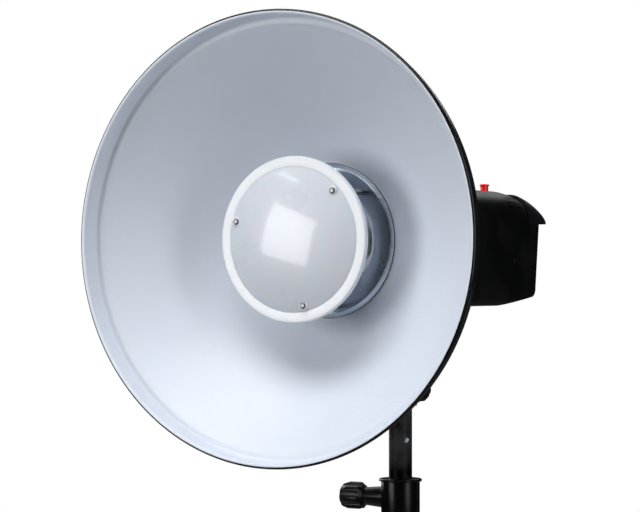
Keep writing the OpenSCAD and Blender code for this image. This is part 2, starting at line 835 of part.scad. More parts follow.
module reflector_cup() {
    color("#c9ccd0") difference() {
        on_axis(cup_y) cylinder(r = cup_r, h = cup_floor_y - cup_y + 1.2);
        on_axis(cup_y - lap) cylinder(r = cup_r - 1, h = cup_floor_y - cup_y + lap);
        on_axis(cup_floor_y - lap) cylinder(r = 19, h = 4);
        on_circle(cup_floor_y - lap, flash_ring_r, flash_leg_angles) cylinder(r = 5.5, h = 4, $fn = 32);
    }
}

module tube_base() {
    color("#e8e4da") difference() {
        on_axis(cup_floor_y + 1.4) cylinder(r = cup_r - 3, h = 7);
        on_axis(cup_floor_y) cylinder(r = 15.5, h = 10);
        on_circle(cup_floor_y, flash_ring_r, flash_leg_angles) cylinder(r = flash_r, h = 10, $fn = 48);
    }
}

module flash_tube() {
    color("#dfe8ea") difference() {
        union() {
            on_axis(flash_y) rotate_extrude() translate([flash_ring_r, 0]) circle(flash_r, $fn = 48);
            on_circle(flash_y, flash_ring_r, flash_leg_angles)
                cylinder(r = flash_r, h = cup_floor_y + 6 - flash_y, $fn = 48);
        }
        on_axis(flash_y - 10) sector(flash_ring_r - 8, flash_ring_r + 8, 20, 83, 97);
    }
}

module lamp_socket() {
    color("#e8e4da") on_axis(cup_floor_y + 1.4) difference() {
        cylinder(r = 15.4, h = 34);
        translate([0, 0, -lap]) cylinder(r = 12.6, h = 26);
    }
}

module modelling_lamp() {
    color("#f1f1ee") on_axis(cup_floor_y + 1.4) rotate_extrude() polygon([
        [0, 24], [8, 24], [12.4, 20], [12.4, 0], [11, -8], [13, -16],
        for (a = [-30 : 10 : 90]) [17 * cos(a), -25 - 17 * sin(a)]
    ]);
}

module capacitors() {
    color("#2f4f8f") for (m = [-1, 1]) translate([m * cap_x, cap_y, axis_h + cap_up]) rotate([-90, 0, 0]) {
        cylinder(r = cap_r, h = cap_len);
        for (x = [-8, 8]) translate([x, 0, cap_len]) cylinder(r = 4, h = 5, $fn = 32);
    }
}

module main_board() {
    color("#2e6b3c") translate([-body_w / 2 + wall + 3, cap_y - 8, axis_h + board_up])
        cube([body_w - 2 * wall - 6, 190, 1.6]);
}

module trigger_coil() {
    color("#8a5a2b") translate([-34, cap_y, axis_h + board_up + 1.6]) {
        cube([22, 26, 20]);
        translate([50, 13, 0]) cylinder(r = 9, h = 22);
    }
}

module power_choke() {
    color("#a0652f") translate([0, cap_y + 75, axis_h + board_up + 1.6]) {
        tube(20, 9, 16);
        for (x = [-46, 30]) translate([x, 35, 0]) cube([16, 50, 30]);
    }
}

module fan_frame() {
    color("#1c1d1f") difference() {
        translate([-fan_w / 2, fan_y, axis_h + fan_up - fan_w / 2]) cube([fan_w, fan_t, fan_w]);
        translate([0, fan_y - lap, axis_h + fan_up]) rotate([-90, 0, 0])
            cylinder(d = fan_w - 4, h = fan_t - 3 + lap);
        translate([0, fan_y, axis_h + fan_up]) rotate([-90, 0, 0]) difference() {
            translate([0, 0, fan_t - 4]) cylinder(d = fan_w - 4, h = 10);
            translate([0, 0, fan_t - 3]) cylinder(r = 13, h = 10);
            for (a = [45 : 90 : 315]) rotate([0, 0, a]) translate([0, -2, fan_t - 3]) cube([fan_w, 4, 10]);
        }
        fan_pin(3 + fit, 2);
    }
}

module fan_pin(r, more) {
    translate([0, fan_y + fan_t - 9 - more, axis_h + fan_up]) rotate([-90, 0, 0])
        cylinder(r = r, h = 9 + 2 * more);
}

module fan_rotor() {
    blades = 7;
    tip_r = fan_w / 2 - 3;
    color("#26272a") {
        translate([0, fan_y + 1, axis_h + fan_up]) rotate([-90, 0, 0]) {
            cylinder(r = 12.5, h = fan_t - 5);
            for (i = [0 : blades - 1]) rotate([0, 0, i * 360 / blades]) translate([11, 0, (fan_t - 5) / 2])
                rotate([35, 0, 0]) translate([0, -0.8, -8]) cube([tip_r - 11, 1.6, 16]);
        }
        fan_pin(3, 0);
    }
}

module control_board() {
    color("#2e6b3c") difference() {
        translate([-50, board_y, axis_h - 30]) cube([100, 1.6, 48]);
        for (m = [-1, 1]) translate([m * dial_x, board_y - lap, axis_h + dial_up]) rotate([-90, 0, 0])
            cylinder(r = 3.4, h = 4);
    }
}

module display_window() {
    color("#3a0d0f") {
        translate([-window_w / 2 + 0.1, panel_y + 0.6, axis_h + window_up - window_h / 2 + 0.1])
            cube([window_w - 0.2, panel_t - 0.2, window_h - 0.2]);
        translate([-window_w / 2 + 4, board_y + 1.6, axis_h + window_up - window_h / 2 + 2])
            cube([window_w - 8, panel_y + 0.6 - board_y - 1.6, window_h - 4]);
    }
}

module dial(x) {
    y = panel_y + panel_t + gap;
    color("#1b1c1e") translate([x, y, axis_h + dial_up]) rotate([-90, 0, 0]) difference() {
        union() {
            rotate_extrude() polygon([[0, 0], [11.5, 0], [11.5, 2], [10, 3], [9.2, 11], [8.4, 12], [0, 12]]);
            translate([0, 0, board_y + 3 - y]) cylinder(r = 3, h = y - board_y - 3);
            for (i = [0 : 17]) rotate([0, 0, i * 20])
                translate([9.4, 0, 2]) cylinder(r = 0.7, h = 8.5, $fn = 16);
        }
        translate([-0.7, -8, 11.4]) cube([1.4, 6.5, 2]);
    }
}

module power_dial() { dial(-dial_x); }
module lamp_dial() { dial(dial_x); }

module push_button(i) {
    y = panel_y + panel_t;
    color("#b8babd") translate([i * button_pitch, y, axis_h + button_up]) rotate([-90, 0, 0]) {
        translate([0, 0, -8]) cylinder(r = button_d / 2, h = 8 + button_travel);
        translate([0, 0, button_travel]) cylinder(r1 = button_d / 2, r2 = button_d / 2 - 0.6, h = 0.6);
        translate([0, 0, -8]) cylinder(r = button_d / 2 + 0.9, h = 1.6);
    }
}

module test_button() { push_button(-1); }
module sensor_button() { push_button(0); }
module beep_button() { push_button(1); }

// The rocker lies at its off stop, its lower half pressed in
module mains_rocker() {
    half = rocker_h / 2;
    color("#c01818") translate([rocker_x, panel_y + panel_t - 1, axis_h + low_row_up])
        rotate([rocker_rest, 0, 0]) across(rocker_w - 2 * gap) polygon([
            [-6, -4], [0, 1 - half], [3, 1.4 - half], [1.8, 0], [3, half - 1.4], [0, half - 1], [-6, 4]
        ]);
}

module fuse_cap() {
    color("#1b1c1e") translate([fuse_x, panel_y + panel_t + gap, axis_h + low_row_up])
        rotate([-90, 0, 0]) difference() {
        union() {
            cylinder(r = 7.5, h = 2);
            translate([0, 0, 2]) cylinder(r1 = 6.5, r2 = 6, h = 5);
            translate([0, 0, -22]) cylinder(r = 6.2, h = 22);
        }
        translate([-5, -0.8, 5.6]) cube([10, 1.6, 4]);
    }
}

module sync_socket() {
    color("#2a2b2e") translate([sync_x, panel_y - 16, axis_h + low_row_up]) rotate([-90, 0, 0]) difference() {
        union() {
            cylinder(r = 5, h = 16 + panel_t + 2);
            translate([0, 0, 16 + panel_t]) cylinder(r = 7, h = 2.2, $fn = 6);
            translate([-7, -7, 0]) cube([14, 14, 14]);
        }
        translate([0, 0, 4]) cylinder(d = sync_d, h = 16 + panel_t);
    }
}

module mains_inlet() {
    c = [inlet_x, panel_y + panel_t, axis_h + low_row_up];
    color("#161719") difference() {
        union() {
            translate(c + [-inlet_w / 2 - 2, 0, -inlet_h / 2 - 2]) cube([inlet_w + 4, 2.5, inlet_h + 4]);
            translate(c + [-inlet_w / 2 + 0.1, -18, -inlet_h / 2 + 0.1])
                cube([inlet_w - 0.2, 18, inlet_h - 0.2]);
        }
        translate(c + [-inlet_w / 2 + 1.8, -15, -inlet_h / 2 + 1.8]) cube([inlet_w - 3.6, 20, inlet_h - 3.6]);
    }
    color("silver") for (p = [[-7, -1.5], [0, 2.5], [7, -1.5]])
        translate(c + [p[0] - 1, -16, p[1] - 2]) cube([2, 14, 4]);
}

// ----------------------------------------------------------------- dish

module dish_bowl() {
    far_a = bowl_c + 2 * (bowl_a - bowl_c);
    far_b = bowl_c + 2 * (bowl_b - bowl_c);
    color("#e9ebee") difference() {
        on_axis(rim_y) rotate_extrude($fn = 180) {
            translate([rim_r - bead_r, bead_r]) circle(bead_r, $fn = 32);
            polygon([
                [wall_r, bead_r], [wall_r + sheet, bead_r], [ledge_r + sheet, rim_wall + sheet],
                [bowl_r, rim_wall + sheet], [bowl_r, rim_wall], [ledge_r, rim_wall]
            ]);
            intersection() {
                translate(bowl_c) difference() {
                    circle(bowl_arc_r + sheet, $fn = 180);
                    circle(bowl_arc_r, $fn = 180);
                }
                polygon([bowl_c, far_a, far_b]);
            }
            translate([opening_r + spigot_ring_wall, dish_depth])
                square([bowl_end_r - opening_r - spigot_ring_wall, sheet]);
        }
        on_circle(seat_y - lap, post_circle_r, post_angles) cylinder(r = post_d / 4, h = 4, $fn = 32);
        on_circle(seat_y - lap, post_circle_r, rivet_angles) cylinder(r = 1.6, h = 4, $fn = 32);
    }
}

module base_plate() {
    t = 1.2;
    color("#7d858f") difference() {
        on_axis(plate_y) rotate_extrude() polygon([
            [opening_r, 0], [plate_r - plate_bevel, 0], [plate_r, plate_rise - 0.6], [plate_r, plate_rise],
            [plate_r - t, plate_rise], [plate_r - plate_bevel - 0.5, t], [opening_r, t]
        ]);
        on_circle(plate_y - lap, post_circle_r, post_angles) cylinder(r = post_d / 4, h = 4, $fn = 32);
        on_circle(plate_y - lap, opening_r + 3.5, [-8]) cylinder(r = 1.1, h = 4, $fn = 32);
    }
}

module mount_flange() {
    t = flange_t;
    lug_y = ring_y + 3.5;
    color("#4d5054") difference() {
        union() {
            on_axis(seat_y) tube(spigot_ring_r, opening_r, lug_y + 4 - seat_y);
            on_axis(flange_back_y - t) tube(bowl_end_r - 6, spigot_ring_r - 0.5, t);
            for (k = [0 : 2]) on_axis(lug_y)
                sector(spigot_ring_r - 0.8, spigot_ring_r + lug_h, 4, lug_start(k), lug_start(k) + lug_deg);
        }
        on_circle(seat_y - lap, post_circle_r, post_angles) cylinder(r = post_d / 4, h = 10, $fn = 32);
        on_circle(seat_y - lap, post_circle_r, rivet_angles) cylinder(r = 1.6, h = 10, $fn = 32);
        on_axis(flange_back_y - 2.3)
            sector(lock_r - lock_pin_r - 0.5, lock_r + lock_pin_r + 0.5, 4,
                -lock_deg - bayonet_turn - 4, -lock_deg + 4);
    }
}

module flange_rivets() {
    color("#c9ccd0") on_circle(seat_y, post_circle_r, rivet_angles) {
        translate([0, 0, -0.9]) cylinder(r1 = 2.2, r2 = 3, h = 0.9);
        cylinder(r = 1.6, h = sheet + flange_t, $fn = 32);
        translate([0, 0, sheet + flange_t]) cylinder(r1 = 3, r2 = 2.4, h = 1);
    }
}

module deflector_posts() {
    color("#9aa1a8") on_circle(0, post_circle_r, post_angles) {
        translate([0, 0, post_front_y]) cylinder(d = post_d, h = plate_y - post_front_y);
        translate([0, 0, plate_y - lap])
            cylinder(r = post_d / 4, h = flange_back_y + nut_h - plate_y + lap, $fn = 32);
        translate([0, 0, flange_back_y]) cylinder(r = post_d * 0.62, h = nut_h - 0.5, $fn = 6);
    }
}

module deflector_plate() {
    color("#d5d8dc") difference() {
        on_axis(deflector_y + ring_t) cylinder(r = deflector_d / 2 - 1.2, h = 1.2);
        on_circle(deflector_y, post_circle_r, post_angles) cylinder(r = post_d / 4, h = 6, $fn = 32);
    }
}

module deflector_dome() {
    c = dome_sphere_r - dome_rise;
    color("#d7dade") difference() {
        on_axis(deflector_y) rotate_extrude() difference() {
            intersection() {
                translate([0, c]) circle(dome_sphere_r, $fn = 180);
                translate([0, -dome_rise - lap]) square([dome_r, dome_rise + ring_t + lap]);
            }
            translate([0, c]) circle(dome_sphere_r - dome_wall, $fn = 180);
        }
        on_circle(deflector_y - dome_rise, post_circle_r, post_angles)
            cylinder(r = post_d / 4, h = 20, $fn = 32);
        on_circle(washer_y - 3, post_circle_r, post_angles) cylinder(r = washer_r + 0.1, h = 3 + washer_t);
    }
}

module deflector_ring() {
    r = deflector_d / 2;
    color("white") on_axis(deflector_y) rotate_extrude() polygon([
        [dome_r, 0.3], [dome_r + 0.3, 0], [r - 0.8, 0], [r, 0.8],
        [r, 4], [r - 1, 4], [r - 1, ring_t], [dome_r, ring_t]
    ]);
}

// Each screw sits on a white washer and runs into its post
module deflector_screws() {
    on_circle(washer_y, post_circle_r, post_angles) {
        color("#f0f0ee") tube(washer_r, post_d / 4, washer_t);
        color("silver") screw(2.7, 1.8, post_d / 4, post_front_y - washer_y);
    }
}

stand_collar();
collar_boss();
collar_bush();
collar_rivet();
collar_screw();
collar_knob();
riser_tube();
riser_end_plug();
riser_rivet();
stand_stud();
tilt_bracket();
tilt_bolt();
tilt_nut();
tilt_discs();
tilt_lever();
socket_screw();
socket_knob();
umbrella_screw();
head_shoe();
shoe_screws();
lower_case();
top_cover();
front_bezel();
rear_panel();
carry_handle();
head_screws();
slave_sensor();
front_ring();
lock_slider();
reflector_cup();
tube_base();
flash_tube();
lamp_socket();
modelling_lamp();
capacitors();
main_board();
trigger_coil();
power_choke();
fan_frame();
fan_rotor();
control_board();
display_window();
power_dial();
lamp_dial();
test_button();
sensor_button();
beep_button();
mains_rocker();
fuse_cap();
sync_socket();
mains_inlet();
dish_bowl();
base_plate();
mount_flange();
flange_rivets();
deflector_posts();
deflector_plate();
deflector_dome();
deflector_ring();
deflector_screws();
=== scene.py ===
import math

import bpy
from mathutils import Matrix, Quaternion, Vector


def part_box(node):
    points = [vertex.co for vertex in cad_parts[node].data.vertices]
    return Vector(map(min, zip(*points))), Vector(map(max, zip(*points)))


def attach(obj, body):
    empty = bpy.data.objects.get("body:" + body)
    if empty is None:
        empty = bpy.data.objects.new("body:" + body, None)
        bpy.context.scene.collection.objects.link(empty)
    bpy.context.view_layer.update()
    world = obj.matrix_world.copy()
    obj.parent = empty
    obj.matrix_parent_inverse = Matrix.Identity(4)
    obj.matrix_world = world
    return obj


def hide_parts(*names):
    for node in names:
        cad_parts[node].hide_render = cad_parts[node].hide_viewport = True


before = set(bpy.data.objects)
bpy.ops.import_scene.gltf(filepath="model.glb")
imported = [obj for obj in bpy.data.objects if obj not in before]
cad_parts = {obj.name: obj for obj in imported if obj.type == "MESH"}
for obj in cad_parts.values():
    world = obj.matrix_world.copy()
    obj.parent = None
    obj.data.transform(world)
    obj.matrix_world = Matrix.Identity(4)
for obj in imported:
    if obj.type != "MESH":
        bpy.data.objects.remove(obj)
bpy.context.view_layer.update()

# ---------------------------------------------------------------------------
# The studio: a long lens looks at the dish from the operator's left, with a softbox
# to its left, a wide bank over the dish, a tall panel at the side and a bank behind
# the head. The floor and the surround are plain and pale.

bowl_lo, bowl_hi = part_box("dish_bowl")
light_z = (bowl_lo.z + bowl_hi.z) / 2
rim_y = bowl_lo.y

heading, rise = math.radians(31.21), math.radians(-1.0)
turn_right, turn_down = math.radians(1.238), math.radians(0.408)
camera_distance = 2.1865

camera_data = bpy.data.cameras.new("camera")
camera_data.lens = 135
camera_data.sensor_width = 36
camera_data.clip_end = 60
camera = bpy.data.objects.new("camera", camera_data)
bpy.context.scene.collection.objects.link(camera)
back = Vector((math.sin(heading) * math.cos(rise), -math.cos(heading) * math.cos(rise), math.sin(rise)))
camera.location = Vector((0, rim_y, light_z)) + camera_distance * back
forward = Quaternion((0, 0, 1), -turn_right) @ -back
sideways = forward.cross(Vector((0, 0, 1))).normalized()
forward = Quaternion(sideways, -turn_down) @ forward
camera.rotation_mode = "QUATERNION"
camera.rotation_quaternion = forward.to_track_quat("-Z", "Y")
bpy.context.scene.camera = camera
bpy.context.scene.view_settings.view_transform = "Standard"


def soft_light(name, width, height, watts, azimuth, elevation, distance, roll=0.0, tint=(1, 1, 1)):
    data = bpy.data.lights.new(name, "AREA")
    data.shape = "RECTANGLE"
    data.size, data.size_y = width, height
    data.energy = watts
    data.color = tint
    lamp = bpy.data.objects.new(name, data)
    bpy.context.scene.collection.objects.link(lamp)
    a, e = math.radians(azimuth), math.radians(elevation)
    away = Vector((math.sin(a) * math.cos(e), -math.cos(a) * math.cos(e), math.sin(e)))
    lamp.location = Vector((0, rim_y, light_z)) + distance * away
    lamp.rotation_mode = "QUATERNION"
    lamp.rotation_quaternion = (-away).to_track_quat("-Z", "Y") @ Quaternion((0, 0, 1), math.radians(roll))


soft_light("left_softbox", 0.92, 0.74, 12.4, -31, 3, 1.7, roll=-16)
soft_light("overhead_bank", 1.6, 0.9, 24.5, -10, 62, 1.7)
soft_light("top_strip", 0.42, 0.05, 0.5, -38, 31, 1.7, roll=-8)
soft_light("side_panel", 0.8, 1.5, 12.5, 80, 10, 1.7)
soft_light("back_bank", 1.8, 1.2, 15, 200, 38, 2.0)
soft_light("far_side_panel", 0.8, 1.4, 18, -118, 14, 1.9)

world = bpy.data.worlds.new("surround")
bpy.context.scene.world = world
world.use_nodes = True
sky = world.node_tree.nodes
sky.clear()
sky_out = sky.new("ShaderNodeOutputWorld")
seen = sky.new("ShaderNodeBackground")
seen.inputs["Color"].default_value = (1, 1, 1, 1)
seen.inputs["Strength"].default_value = 1.0
lit = sky.new("ShaderNodeBackground")
lit.inputs["Color"].default_value = (0.86, 0.93, 1, 1)
lit.inputs["Strength"].default_value = 0.02
which = sky.new("ShaderNodeMixShader")
path = sky.new("ShaderNodeLightPath")
join = world.node_tree.links.new
join(path.outputs["Is Camera Ray"], which.inputs["Fac"])
join(lit.outputs["Background"], which.inputs[1])
join(seen.outputs["Background"], which.inputs[2])
join(which.outputs["Shader"], sky_out.inputs["Surface"])

floor_drop = 1.1
bpy.ops.object.select_all(action="DESELECT")
bpy.ops.mesh.primitive_circle_add(vertices=96, radius=8, fill_type="NGON", location=(0, 0, -floor_drop))
floor = bpy.context.object
floor.name = "studio_floor"
floor_paint = bpy.data.materials.new("studio_floor")
floor_paint.use_nodes = True
floor_shader = floor_paint.node_tree.nodes["Principled BSDF"]
floor_shader.inputs["Base Color"].default_value = (0.30, 0.305, 0.31, 1)
floor_shader.inputs["Roughness"].default_value = 0.8
floor_shader.inputs["Emission Color"].default_value = (1, 1, 1, 1)
seen_from = floor_paint.node_tree.nodes.new("ShaderNodeLightPath")
pale = floor_paint.node_tree.nodes.new("ShaderNodeMapRange")
pale.inputs["To Min"].default_value = 0.02
pale.inputs["To Max"].default_value = 0.72
floor_paint.node_tree.links.new(seen_from.outputs["Is Camera Ray"], pale.inputs["Value"])
floor_paint.node_tree.links.new(pale.outputs["Result"], floor_shader.inputs["Emission Strength"])
floor.data.materials.append(floor_paint)

# ---------------------------------------------------------------------------
# The dish bowl: one sheet of aluminium spun over a former, rolled outwards at
# the rim, with a straight wall and a ledge before the hollow. White textured
# powder coat inside, satin black outside. Riveted to the mounting flange.


def alone(piece):
    bpy.ops.object.select_all(action="DESELECT")
    piece.select_set(True)
    bpy.context.view_layer.objects.active = piece


def settle(piece):
    """Puts the piece's object at the origin, with its place in its mesh."""
    alone(piece)
    bpy.ops.object.transform_apply(location=True, rotation=True, scale=True)


def spun(name, outline, y=0.0, centre=(0.0, light_z), steps=128, smooth=35):
    """Spins an outline of radius and depth about an axis along +Y, and closes it."""
    axis_x, axis_z = centre
    radius, depth = outline[0]
    bpy.ops.object.select_all(action="DESELECT")
    bpy.ops.mesh.primitive_plane_add(size=0.001, location=(axis_x + radius, y + depth, axis_z))
    piece = bpy.context.object
    piece.name = piece.data.name = name
    bpy.ops.object.mode_set(mode="EDIT")
    bpy.ops.mesh.merge(type="CENTER")
    for (r0, d0), (r1, d1) in zip(outline, outline[1:] + outline[:1]):
        bpy.ops.mesh.extrude_vertices_move(TRANSFORM_OT_translate={"value": (r1 - r0, d1 - d0, 0)})
    bpy.ops.mesh.select_all(action="SELECT")
    bpy.ops.mesh.remove_doubles(threshold=1e-6)
    bpy.ops.mesh.select_all(action="SELECT")
    bpy.ops.mesh.spin(steps=steps, angle=math.tau, center=(axis_x, 0, axis_z), axis=(0, 1, 0))
    bpy.ops.mesh.select_all(action="SELECT")
    bpy.ops.mesh.remove_doubles(threshold=1e-6)
    bpy.ops.mesh.normals_make_consistent(inside=False)
    bpy.ops.object.mode_set(mode="OBJECT")
    settle(piece)
    bpy.ops.object.shade_smooth_by_angle(angle=math.radians(smooth))
    return piece


def arc(centre, radius, start, end, steps):
    """Points of an arc, in degrees from the outward direction towards the depth."""
    return [
        (centre[0] + radius * math.cos(math.radians(start + (end - start) * i / steps)),
         centre[1] + radius * math.sin(math.radians(start + (end - start) * i / steps)))
        for i in range(steps + 1)
    ]


def node_group(name, inputs, outputs):
    """A shader node group with named sockets: floats, colours as 4 values, or None for a vector."""
    tree = bpy.data.node_groups.new(name, "ShaderNodeTree")
    for label, value in inputs:
        kind = "NodeSocketFloat" if isinstance(value, (int, float)) else "NodeSocketColor"
        kind = "NodeSocketVector" if value is None else kind
        socket = tree.interface.new_socket(label, in_out="INPUT", socket_type=kind)
        if value is not None:
            socket.default_value = value
    for label, kind in outputs:
        tree.interface.new_socket(label, in_out="OUTPUT", socket_type=kind)
    return tree, tree.nodes.new("NodeGroupInput"), tree.nodes.new("NodeGroupOutput")


def node(tree, kind, links=(), **values):
    """Adds a node, links its inputs from sockets and sets the rest of its inputs or properties."""
    made = tree.nodes.new(kind)
    for label, value in values.items():
        setattr(made, label, value)
    for label, source in dict(links).items():
        if isinstance(source, bpy.types.NodeSocket):
            tree.links.new(source, made.inputs[label])
        else:
            made.inputs[label].default_value = source
    return made


# Handled surface: two sizes of grain, cloudy colour, worn raised edges and dust on top
surface_tree, surface_in, surface_out = node_group(
    "handled_surface",
    [("Vector", None), ("Grain Scale", 900.0), ("Colour", (0.5, 0.5, 0.5, 1)), ("Worn Colour", (0.6, 0.6, 0.6, 1)),
     ("Mottle", 0.1), ("Wear", 0.0), ("Dust", 0.0)],
    [("Colour", "NodeSocketColor"), ("Height", "NodeSocketFloat"), ("Roughness Shift", "NodeSocketFloat"),
     ("Worn", "NodeSocketFloat")],
)
sf = surface_in.outputs
grain_fine = node(surface_tree, "ShaderNodeTexNoise",
                  {"Vector": sf["Vector"], "Scale": sf["Grain Scale"], "Detail": 2.0, "Roughness": 0.6})
clouds = node(surface_tree, "ShaderNodeTexNoise", {"Vector": sf["Vector"], "Scale": 26.0, "Detail": 5.0})
cells = node(surface_tree, "ShaderNodeTexVoronoi", {"Vector": sf["Vector"], "Scale": sf["Grain Scale"]})
relief = node(surface_tree, "ShaderNodeMath",
              {0: grain_fine.outputs[0],
               1: cells.outputs["Distance"]}, operation="ADD")
cloud_value = clouds.outputs[0]
centred = node(surface_tree, "ShaderNodeMath", {0: cloud_value, 1: 0.5}, operation="SUBTRACT")
shade = node(surface_tree, "ShaderNodeMath", {0: centred.outputs[0], 1: sf["Mottle"], 2: 1.0},
             operation="MULTIPLY_ADD")
tinted = node(surface_tree, "ShaderNodeVectorMath", {0: sf["Colour"], "Scale": shade.outputs[0]}, operation="SCALE")
shape = node(surface_tree, "ShaderNodeNewGeometry")
ridge = node(surface_tree, "ShaderNodeMapRange",
             {"Value": shape.outputs["Pointiness"], "From Min": 0.53, "From Max": 0.62})
patchy = node(surface_tree, "ShaderNodeMapRange", {"Value": cloud_value, "From Min": 0.42, "From Max": 0.6})
rubbed = node(surface_tree, "ShaderNodeMath", {0: ridge.outputs[0], 1: patchy.outputs[0]}, operation="MULTIPLY")
worn = node(surface_tree, "ShaderNodeMath", {0: rubbed.outputs[0], 1: sf["Wear"]}, operation="MULTIPLY")
own_axes = node(surface_tree, "ShaderNodeTexCoord")
facing = node(surface_tree, "ShaderNodeSeparateXYZ", {0: own_axes.outputs["Normal"]})
upward = node(surface_tree, "ShaderNodeMapRange", {"Value": facing.outputs["Z"], "From Min": 0.5, "From Max": 1.0})
settled = node(surface_tree, "ShaderNodeMath", {0: upward.outputs[0], 1: sf["Dust"]}, operation="MULTIPLY")
dusty = node(surface_tree, "ShaderNodeMath", {0: settled.outputs[0], 1: cloud_value}, operation="MULTIPLY")
with_wear = node(surface_tree, "ShaderNodeMix",
                 {0: worn.outputs[0], 6: tinted.outputs[0], 7: sf["Worn Colour"]}, data_type="RGBA")
with_dust = node(surface_tree, "ShaderNodeMix",
                 {0: dusty.outputs[0], 6: with_wear.outputs[2], 7: (0.55, 0.54, 0.52, 1)}, data_type="RGBA")
surface_tree.links.new(with_dust.outputs[2], surface_out.inputs["Colour"])
surface_tree.links.new(relief.outputs[0], surface_out.inputs["Height"])
surface_tree.links.new(centred.outputs[0], surface_out.inputs["Roughness Shift"])
surface_tree.links.new(worn.outputs[0], surface_out.inputs["Worn"])


def finish(name, colour, roughness, grain_mm=0.8, relief_mm=0.02, mottle=0.15, wear=0.0,
           worn_colour=(0.3, 0.3, 0.31), dust=0.0, **shader_values):
    """A material whose grain, cloudiness, wear and dust come from the handled surface group."""
    made = bpy.data.materials.new(name)
    made.use_nodes = True
    tree = made.node_tree
    shader = tree.nodes["Principled BSDF"]
    place = node(tree, "ShaderNodeTexCoord")
    look = node(tree, "ShaderNodeGroup", node_tree=surface_tree)
    tree.links.new(place.outputs["Object"], look.inputs["Vector"])
    for label, value in (("Grain Scale", 1000 / grain_mm), ("Colour", (*colour, 1)), ("Mottle", mottle),
                         ("Worn Colour", (*worn_colour, 1)), ("Wear", wear), ("Dust", dust)):
        look.inputs[label].default_value = value
    tree.links.new(look.outputs["Colour"], shader.inputs["Base Color"])
    rough = node(tree, "ShaderNodeMath", {0: look.outputs["Roughness Shift"], 1: 0.22, 2: roughness},
                 operation="MULTIPLY_ADD")
    tree.links.new(rough.outputs[0], shader.inputs["Roughness"])
    bump = node(tree, "ShaderNodeBump", {"Height": look.outputs["Height"], "Strength": 1.0,
                                         "Distance": relief_mm / 1000})
    tree.links.new(bump.outputs["Normal"], shader.inputs["Normal"])
    for label, value in shader_values.items():
        socket = shader.inputs[label.replace("_", " ").title().replace("Ior", "IOR")]
        socket.default_value = (*value, 1) if isinstance(value, tuple) else value
    return made


dish_white = finish("dish_white_coat", (0.775, 0.828, 0.925), 0.44, grain_mm=1.3, relief_mm=0.10, mottle=0.03,
                    coat_weight=0.12, coat_roughness=0.25)
dish_black = finish("dish_black_coat", (0.004, 0.004, 0.0045), 0.26, grain_mm=0.9, relief_mm=0.012, mottle=0.2,
                    wear=0.2, dust=0.01, specular_ior_level=0.35)

rim_r = (bowl_hi.x - bowl_lo.x) / 2
seat_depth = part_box("mount_flange")[0].y - rim_y
sheet = 0.0015
bead_r = 0.0024
wall_r = rim_r - bead_r - 0.0004
ledge_r = wall_r - 0.003
hollow_r = ledge_r - 0.0063
wall_depth = 0.0195
foot_r = 0.076
hollow_arc_r = 0.350
spigot_r = 0.052

chord = Vector((foot_r - hollow_r, seat_depth - wall_depth))
half_turn = math.degrees(math.asin(chord.length / 2 / hollow_arc_r))
middle = Vector(((foot_r + hollow_r) / 2, (seat_depth + wall_depth) / 2))
inward = Vector((-chord.y, chord.x)).normalized()
hollow_centre = middle + inward * math.sqrt(hollow_arc_r**2 - chord.length**2 / 4)
mid_angle = math.degrees(math.atan2(middle.y - hollow_centre.y, middle.x - hollow_centre.x))
hollow = arc(hollow_centre, hollow_arc_r, mid_angle - half_turn, mid_angle + half_turn, 30)
hollow_back = arc(hollow_centre, hollow_arc_r + sheet, mid_angle + half_turn, mid_angle - half_turn, 30)
bead = arc((rim_r - bead_r, bead_r), bead_r, 180, 450, 14)
inner_corner = arc((ledge_r - 0.0024, wall_depth - 0.0026), 0.0026, 0, 90, 6)
outer_corner = arc((ledge_r - 0.0024, wall_depth - 0.0026), 0.0026 + sheet, 0, 90, 8)

outline = [
    (spigot_r, seat_depth), (foot_r - 0.001, seat_depth), *reversed(hollow), (hollow_r + 0.001, wall_depth - 0.0003),
    *reversed(inner_corner), (wall_r, bead_r + 0.001), *bead, (wall_r + sheet * 0.7, bead_r * 2 - 0.0002),
    *outer_corner,
    *reversed(hollow_back), (spigot_r, seat_depth + sheet),
]
dish = spun("dish_bowl_spinning", outline, y=rim_y, steps=160, smooth=40)
dish.data.materials.append(dish_white)
dish.data.materials.append(dish_black)
for face in dish.data.polygons:
    c = face.center
    out = Vector((c.x, 0, c.z - light_z))
    far = out.length
    faces_light = face.normal.dot(-out.normalized()) + face.normal.dot(Vector((0, -1, 0)))
    on_bead = c.y < rim_y + 2 * bead_r and far > rim_r - bead_r * 0.9
    face.material_index = 1 if on_bead or faces_light < 0 else 0
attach(dish, "dish")
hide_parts("dish_bowl")

# ---------------------------------------------------------------------------
# The base plate: a shallow pressing of nickel-plated steel with a sloping edge and
# a flared opening, held on the bowl's foot by the posts and rivets. A near-black band
# is painted round its outer edge: painted shade of the gap between plate and bowl.

nickel = finish("nickel_plate", (0.42, 0.47, 0.54), 0.26, grain_mm=3.0, relief_mm=0.002, mottle=0.2,
                metallic=1.0)
gap_shade_paint = finish("plate_painted_gap_shade", (0.02, 0.02, 0.024), 0.5, grain_mm=0.6, relief_mm=0.01, mottle=0.3)
plate_lo, plate_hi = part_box("base_plate")
plate_r = (plate_hi.x - plate_lo.x) / 2
opening_r = 0.0504
throat_r, throat_depth = 0.0556, 0.0026
plate_t = 0.0012
plate_h = plate_hi.y - plate_lo.y
shade_band_w = 0.0011
plate = spun("base_plate_pressing", [
    (opening_r, plate_t + throat_depth), (opening_r, throat_depth), (throat_r, 0),
    *arc((plate_r - 0.0045, 0.0012), 0.0012, -90, -42, 4),
    *arc((plate_r - 0.0012, plate_h - 0.0006), 0.0012, -42, 0, 3),
    (plate_r, plate_h), (plate_r - plate_t, plate_h), (plate_r - 0.0042, plate_t),
    (throat_r + plate_t, plate_t),
], y=plate_lo.y, steps=128)
plate.data.materials.append(nickel)
plate.data.materials.append(gap_shade_paint)
